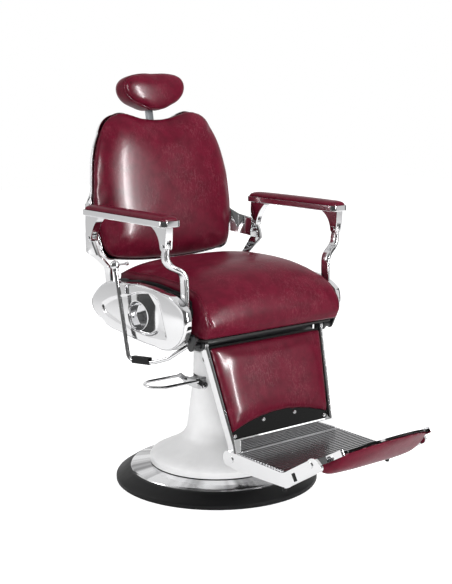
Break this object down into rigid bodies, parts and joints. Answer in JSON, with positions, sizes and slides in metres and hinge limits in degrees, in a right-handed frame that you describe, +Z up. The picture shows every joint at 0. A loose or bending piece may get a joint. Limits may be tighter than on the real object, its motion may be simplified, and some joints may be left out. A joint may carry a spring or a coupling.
{
  "type": "hydraulic barber chair",
  "caption": "Hydraulic reclining barber chair: round base, pump lever, padded seat, back, headrest and arms, side castings and a leg rest with ribbed footplate and flip pad.",
  "frame": {"origin": "on the floor, at the centre of the round base", "axes": "+Z up, -Y the way the sitter faces, +X the sitter's left"},
  "size_m": [0.713, 1.1931, 1.2668],
  "materials": {
    "base_plate_steel": "black paint",
    "rubber_black": "satin moulded rubber",
    "dome_steel": "polished plate",
    "enamel_white": "gloss white enamel",
    "machined_steel": "turned and ground",
    "pump_casting": "grey paint over casting",
    "chrome": "bright polished",
    "steel_black": "black semi-gloss paint",
    "steel_grey": "brushed flat bar",
    "leather_burgundy": "smooth satin leather, piped seams",
    "board_black": "high gloss black",
    "board_seat": "black stained board",
    "footrest_aluminium": "polished ribbed casting",
    "hub_casting": "black painted casting"
  },
  "bodies": {
    "base": {"floor_plate": "base_plate_steel", "base_rubber_ring": "rubber_black", "base_dome_ring": "dome_steel", "cover_gasket": "rubber_black", "column_cover": "enamel_white", "hydraulic_cylinder": "machined_steel", "cylinder_gland": "machined_steel", "base_bolts": "machined_steel", "pump_block": "pump_casting"},
    "pump_piston": {"pump_plunger": "machined_steel"},
    "pump": {"pump_lever": "chrome", "pump_shaft": "chrome"},
    "ram": {"piston_ram": "machined_steel"},
    "seat": {"swivel_hub": "hub_casting", "seat_frame": "steel_black", "seat_board": "board_seat", "seat_cushion": "leather_burgundy", "side_frame_left": "steel_black", "side_frame_right": "steel_black", "side_panel_left": "chrome", "side_panel_right": "chrome", "side_bolts": "chrome", "lever_stud": "chrome"},
    "recline_handle": {"recline_lever": "chrome", "recline_knob": "chrome", "recline_pedal": "rubber_black"},
    "front_posts": {"front_post_left": "chrome", "front_post_right": "chrome"},
    "back": {"back_bracket_left": "chrome", "back_bracket_right": "chrome", "back_shell": "chrome", "back_cushion": "leather_burgundy", "headrest_guide": "steel_black", "shell_bolts": "chrome"},
    "clamp": {"clamp_knob": "chrome"},
    "headrest_post": {"headrest_stem": "steel_grey", "headrest_hinge_pin": "chrome"},
    "headrest": {"headrest_plate": "steel_black", "headrest_cushion": "leather_burgundy"},
    "armrests": {"arm_tray_left": "chrome", "arm_tray_right": "chrome", "arm_pad_left": "leather_burgundy", "arm_pad_right": "leather_burgundy", "arm_pins": "chrome"},
    "leg_rest": {"leg_bar_left": "chrome", "leg_bar_right": "chrome", "leg_hinge_shafts": "steel_black", "leg_tube": "steel_black", "leg_board": "board_black", "leg_pad": "leather_burgundy", "board_buttons": "chrome", "footrest_frame": "chrome", "footrest_plate": "footrest_aluminium", "footrest_bolts": "chrome", "footrest_stops": "rubber_black"},
    "links": {"recline_links": "steel_black"},
    "flip_pad": {"flip_arms": "chrome", "flip_board": "board_black", "flip_cushion": "leather_burgundy"}
  },
  "joints": [
    {"name": "lift", "type": "slide", "parent": "base", "child": "ram", "axis": [0, 0, 1], "range_m": [0, 0.18]},
    {"name": "swivel", "type": "hinge", "parent": "ram", "child": "seat", "pos_m": [0, 0, 0.466], "axis": [0, 0, 1], "continuous": true},
    {"name": "pump_stroke", "type": "hinge", "parent": "base", "child": "pump", "pos_m": [-0.085, 0, 0.318], "axis": [0, -1, 0], "range_deg": [0, 18], "stiffness_Nm_per_rad": 25, "springref_deg": -14.32},
    {"name": "plunger_stroke", "type": "slide", "parent": "base", "child": "pump_piston", "axis": [0, 0, 1], "range_m": [0, 0.0075]},
    {"name": "recline", "type": "hinge", "parent": "seat", "child": "back", "pos_m": [0, 0.18, 0.58], "axis": [-1, 0, 0], "range_deg": [0, 45]},
    {"name": "front_post_swing", "type": "hinge", "parent": "seat", "child": "front_posts", "pos_m": [0, -0.205, 0.595], "axis": [-1, 0, 0], "range_deg": [0, 45]},
    {"name": "arm_level", "type": "hinge", "parent": "back", "child": "armrests", "pos_m": [0, 0.197, 0.772], "axis": [-1, 0, 0], "range_deg": [-45, 0]},
    {"name": "leg_rest_swing", "type": "hinge", "parent": "seat", "child": "leg_rest", "pos_m": [0, -0.226, 0.498], "axis": [-1, 0, 0], "range_deg": [0, 45]},
    {"name": "link_level", "type": "hinge", "parent": "back", "child": "links", "pos_m": [0, 0.163, 0.605], "axis": [-1, 0, 0], "range_deg": [-45, 0]},
    {"name": "flip_pad_turn", "type": "hinge", "parent": "leg_rest", "child": "flip_pad", "pos_m": [0, -0.657, 0.247], "axis": [-1, 0, 0], "range_deg": [0, 150]},
    {"name": "headrest_slide", "type": "slide", "parent": "back", "child": "headrest_post", "axis": [0, 0.1788, 0.9839], "range_m": [0, 0.1]},
    {"name": "headrest_tilt", "type": "hinge", "parent": "headrest_post", "child": "headrest", "pos_m": [0, 0.36331, 1.18826], "axis": [-1, 0, 0], "range_deg": [-15, 40]},
    {"name": "clamp_turn", "type": "hinge", "parent": "back", "child": "clamp", "pos_m": [0, 0.35509, 1.05356], "axis": [0, 0.9839, -0.1788], "continuous": true},
    {"name": "recline_release", "type": "hinge", "parent": "seat", "child": "recline_handle", "pos_m": [-0.253, -0.196, 0.5], "axis": [-1, 0, 0], "range_deg": [0, 8], "stiffness_Nm_per_rad": 30, "springref_deg": -8.59}
  ],
  "couplings": [
    {"joint": "front_post_swing", "follows": "recline", "ratio": 1},
    {"joint": "arm_level", "follows": "recline", "ratio": -1},
    {"joint": "leg_rest_swing", "follows": "recline", "ratio": 1},
    {"joint": "link_level", "follows": "recline", "ratio": -1},
    {"joint": "plunger_stroke", "follows": "pump_stroke", "m_per_rad": 0.0235}
  ]
}
